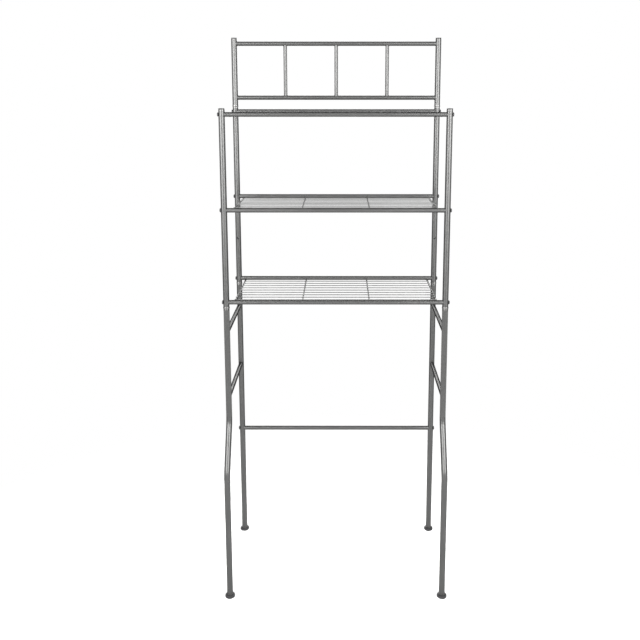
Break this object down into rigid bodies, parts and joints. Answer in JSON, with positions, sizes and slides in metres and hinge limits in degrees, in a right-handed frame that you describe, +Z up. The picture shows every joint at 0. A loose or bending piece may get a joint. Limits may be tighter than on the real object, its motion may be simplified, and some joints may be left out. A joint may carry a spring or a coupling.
{
  "type": "over the toilet storage rack",
  "caption": "Tall free-standing tube rack that straddles a toilet, with wire shelves above the tank bay, a low back gallery and levelling feet.",
  "frame": {"origin": "on the floor, in the middle of the footprint of the four feet", "axes": "+Z up, -Y towards the person in front of the rack, +X to the right as seen from the front"},
  "size_m": [0.607, 0.337, 1.5168],
  "materials": {
    "satin_nickel": "satin nickel plated tube, mid grey, soft sheen",
    "wire_nickel": "satin nickel plated wire",
    "bolt_metal": "dark coated button-head bolts",
    "plug_plastic": "dark grey end plugs",
    "glide_plastic": "near black moulded feet",
    "zinc_steel": "bright zinc, inside the legs"
  },
  "bodies": {
    "rack": {"left_front_leg": "satin_nickel", "left_rear_leg": "satin_nickel", "left_upper_rung": "satin_nickel", "left_lower_rung": "satin_nickel", "right_front_leg": "satin_nickel", "right_rear_leg": "satin_nickel", "right_upper_rung": "satin_nickel", "right_lower_rung": "satin_nickel", "left_front_post": "satin_nickel", "left_rear_post": "satin_nickel", "right_front_post": "satin_nickel", "right_rear_post": "satin_nickel", "left_gallery_post": "satin_nickel", "right_gallery_post": "satin_nickel", "gallery_top_rail": "satin_nickel", "gallery_bottom_rail": "satin_nickel", "left_gallery_spindle": "satin_nickel", "middle_gallery_spindle": "satin_nickel", "right_gallery_spindle": "satin_nickel", "bottom_shelf_wire_deck": "wire_nickel", "bottom_shelf_front_rail": "satin_nickel", "bottom_shelf_left_front_bolt": "bolt_metal", "bottom_shelf_right_front_bolt": "bolt_metal", "bottom_shelf_rear_rail": "satin_nickel", "bottom_shelf_left_rear_bolt": "bolt_metal", "bottom_shelf_right_rear_bolt": "bolt_metal", "middle_shelf_wire_deck": "wire_nickel", "middle_shelf_front_rail": "satin_nickel", "middle_shelf_left_front_bolt": "bolt_metal", "middle_shelf_right_front_bolt": "bolt_metal", "middle_shelf_rear_rail": "satin_nickel", "middle_shelf_left_rear_bolt": "bolt_metal", "middle_shelf_right_rear_bolt": "bolt_metal", "top_shelf_wire_deck": "wire_nickel", "top_shelf_front_rail": "satin_nickel", "top_shelf_left_front_bolt": "bolt_metal", "top_shelf_right_front_bolt": "bolt_metal", "top_shelf_rear_rail": "satin_nickel", "top_shelf_left_rear_bolt": "bolt_metal", "top_shelf_right_rear_bolt": "bolt_metal", "rear_stretcher": "satin_nickel", "stretcher_left_bolt": "bolt_metal", "stretcher_right_bolt": "bolt_metal", "left_front_post_plug": "plug_plastic", "left_gallery_post_plug": "plug_plastic", "right_front_post_plug": "plug_plastic", "right_gallery_post_plug": "plug_plastic", "left_front_leg_insert": "zinc_steel", "left_rear_leg_insert": "zinc_steel", "right_front_leg_insert": "zinc_steel", "right_rear_leg_insert": "zinc_steel"},
    "left_front_foot": {"left_front_glide": "glide_plastic", "left_front_glide_stud": "zinc_steel"},
    "left_rear_foot": {"left_rear_glide": "glide_plastic", "left_rear_glide_stud": "zinc_steel"},
    "right_front_foot": {"right_front_glide": "glide_plastic", "right_front_glide_stud": "zinc_steel"},
    "right_rear_foot": {"right_rear_glide": "glide_plastic", "right_rear_glide_stud": "zinc_steel"}
  },
  "joints": [
    {"name": "left_front_foot_screw", "type": "slide", "parent": "rack", "child": "left_front_foot", "axis": [0, 0, -1], "range_m": [0, 0.008]},
    {"name": "left_rear_foot_screw", "type": "slide", "parent": "rack", "child": "left_rear_foot", "axis": [0, 0, -1], "range_m": [0, 0.008]},
    {"name": "right_front_foot_screw", "type": "slide", "parent": "rack", "child": "right_front_foot", "axis": [0, 0, -1], "range_m": [0, 0.008]},
    {"name": "right_rear_foot_screw", "type": "slide", "parent": "rack", "child": "right_rear_foot", "axis": [0, 0, -1], "range_m": [0, 0.008]}
  ]
}
